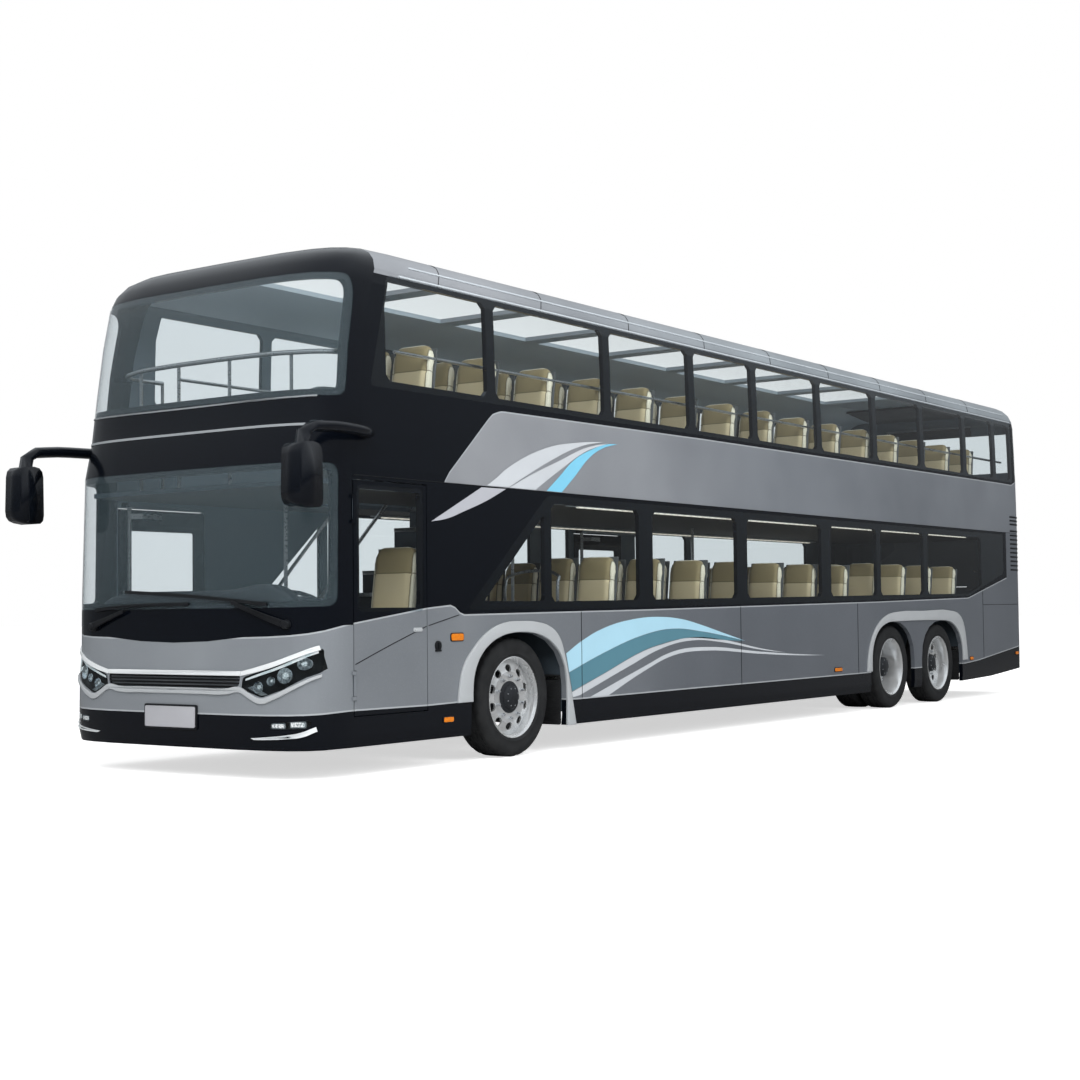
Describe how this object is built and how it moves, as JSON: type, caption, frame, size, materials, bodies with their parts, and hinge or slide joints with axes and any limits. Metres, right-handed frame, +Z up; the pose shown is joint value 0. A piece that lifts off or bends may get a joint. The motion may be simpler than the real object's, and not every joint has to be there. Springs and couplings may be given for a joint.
{
  "type": "double-deck sightseeing bus",
  "caption": "Long double-deck sightseeing coach on three axles, with wrap-round screens, glazed decks, hinged driver's door, swing-out passenger doors and steered front wheels.",
  "frame": {"origin": "on the ground in the middle of the whole bus's plan", "axes": "+X forward, +Y to the driver's (left) side, +Z up"},
  "size_m": [14.4011, 3.09, 3.9],
  "materials": {
    "silver_paint": "metallic paint",
    "black_paint": "gloss",
    "glass": "lightly tinted",
    "lamp_glass": "clear",
    "red_lens": "clear gloss",
    "black_plastic": "satin",
    "steel": "painted",
    "cast_iron": "rough",
    "floor": "studded sheet",
    "leather": "soft",
    "tyre": "matt"
  },
  "bodies": {
    "body": {"chassis_frame": "steel", "lower_deck": "floor", "upper_deck": "floor", "stairs": "floor", "front_panel": "silver_paint", "windscreen_surround": "black_paint", "upper_screen_surround": "black_paint", "windscreen": "glass", "upper_windscreen": "glass", "side_wall_lower_left": "silver_paint", "side_wall_lower_right": "silver_paint", "side_wall_upper_left": "silver_paint", "side_wall_upper_right": "silver_paint", "glass_lower_left": "glass", "glass_lower_right_front": "glass", "glass_lower_right_rear": "glass", "glass_upper_left": "glass", "glass_upper_right": "glass", "roof": "silver_paint", "roof_glass": "glass", "rear_wall": "silver_paint", "rear_window": "glass", "mirror_left": "black_plastic", "mirror_right": "black_plastic", "headlamp_left": "lamp_glass", "headlamp_right": "lamp_glass", "fog_lamp_left": "lamp_glass", "fog_lamp_right": "lamp_glass", "tail_lamp_left": "red_lens", "tail_lamp_right": "red_lens", "dashboard": "black_plastic", "driver_seat": "leather", "seats_lower_left": "leather", "seats_lower_right": "leather", "seats_upper_left": "leather", "seats_upper_right": "leather", "engine_block": "cast_iron", "front_axle": "steel", "drive_axle": "steel", "tag_axle": "steel"},
    "driver_door": {"driver_door": "silver_paint", "driver_door_glass": "glass"},
    "entrance_arm": {"entrance_door_arm": "steel"},
    "entrance_door": {"entrance_door": "black_paint", "entrance_door_glass": "glass"},
    "middle_arm": {"middle_door_arm": "steel"},
    "middle_door": {"middle_door": "black_paint", "middle_door_glass": "glass"},
    "engine_lid": {"engine_lid": "silver_paint"},
    "steer_left": {"knuckle_left": "steel"},
    "steer_right": {"knuckle_right": "steel"},
    "wheel_front_left": {"wheel_front_left": "tyre"},
    "wheel_front_right": {"wheel_front_right": "tyre"},
    "wheel_drive_left": {"wheel_drive_left": "tyre"},
    "wheel_drive_right": {"wheel_drive_right": "tyre"},
    "wheel_tag_left": {"wheel_tag_left": "tyre"},
    "wheel_tag_right": {"wheel_tag_right": "tyre"}
  },
  "joints": [
    {"name": "steering_left", "type": "hinge", "parent": "body", "child": "steer_left", "pos_m": [4.4115, 0.86, 0.4761], "axis": [0, 0, 1], "range_deg": [-40, 40]},
    {"name": "steering_right", "type": "hinge", "parent": "body", "child": "steer_right", "pos_m": [4.4115, -0.86, 0.4761], "axis": [0, 0, 1], "range_deg": [-40, 40]},
    {"name": "roll_front_left", "type": "hinge", "parent": "steer_left", "child": "wheel_front_left", "pos_m": [4.4115, 1.099, 0.4761], "axis": [0, 1, 0], "continuous": true},
    {"name": "roll_front_right", "type": "hinge", "parent": "steer_right", "child": "wheel_front_right", "pos_m": [4.4115, -1.099, 0.4761], "axis": [0, 1, 0], "continuous": true},
    {"name": "roll_drive_left", "type": "hinge", "parent": "body", "child": "wheel_drive_left", "pos_m": [-2.9485, 1.099, 0.4761], "axis": [0, 1, 0], "continuous": true},
    {"name": "roll_drive_right", "type": "hinge", "parent": "body", "child": "wheel_drive_right", "pos_m": [-2.9485, -1.099, 0.4761], "axis": [0, 1, 0], "continuous": true},
    {"name": "roll_tag_left", "type": "hinge", "parent": "body", "child": "wheel_tag_left", "pos_m": [-4.3435, 1.099, 0.4761], "axis": [0, 1, 0], "continuous": true},
    {"name": "roll_tag_right", "type": "hinge", "parent": "body", "child": "wheel_tag_right", "pos_m": [-4.3435, -1.099, 0.4761], "axis": [0, 1, 0], "continuous": true},
    {"name": "driver_door_hinge", "type": "hinge", "parent": "body", "child": "driver_door", "pos_m": [6.3755, 1.279, 1.2], "axis": [0, 0, -1], "range_deg": [0, 75]},
    {"name": "entrance_arm_swing", "type": "hinge", "parent": "body", "child": "entrance_arm", "pos_m": [6.2985, -1.175, 1.2], "axis": [0, 0, 1], "range_deg": [0, 150]},
    {"name": "entrance_door_follow", "type": "hinge", "parent": "entrance_arm", "child": "entrance_door", "pos_m": [6.0105, -1.145, 1.2], "axis": [0, 0, 1], "range_deg": [-150, 0]},
    {"name": "middle_arm_swing", "type": "hinge", "parent": "body", "child": "middle_arm", "pos_m": [-0.1235, -1.175, 1.2], "axis": [0, 0, 1], "range_deg": [0, 150]},
    {"name": "middle_door_follow", "type": "hinge", "parent": "middle_arm", "child": "middle_door", "pos_m": [-0.4115, -1.145, 1.2], "axis": [0, 0, 1], "range_deg": [-150, 0]},
    {"name": "engine_lid_hinge", "type": "hinge", "parent": "body", "child": "engine_lid", "pos_m": [-7.1925, 0, 1.434], "axis": [0, 1, 0], "range_deg": [0, 80]}
  ],
  "couplings": [
    {"joint": "steering_right", "follows": "steering_left", "ratio": 1},
    {"joint": "entrance_door_follow", "follows": "entrance_arm_swing", "ratio": -1},
    {"joint": "middle_door_follow", "follows": "middle_arm_swing", "ratio": -1}
  ]
}
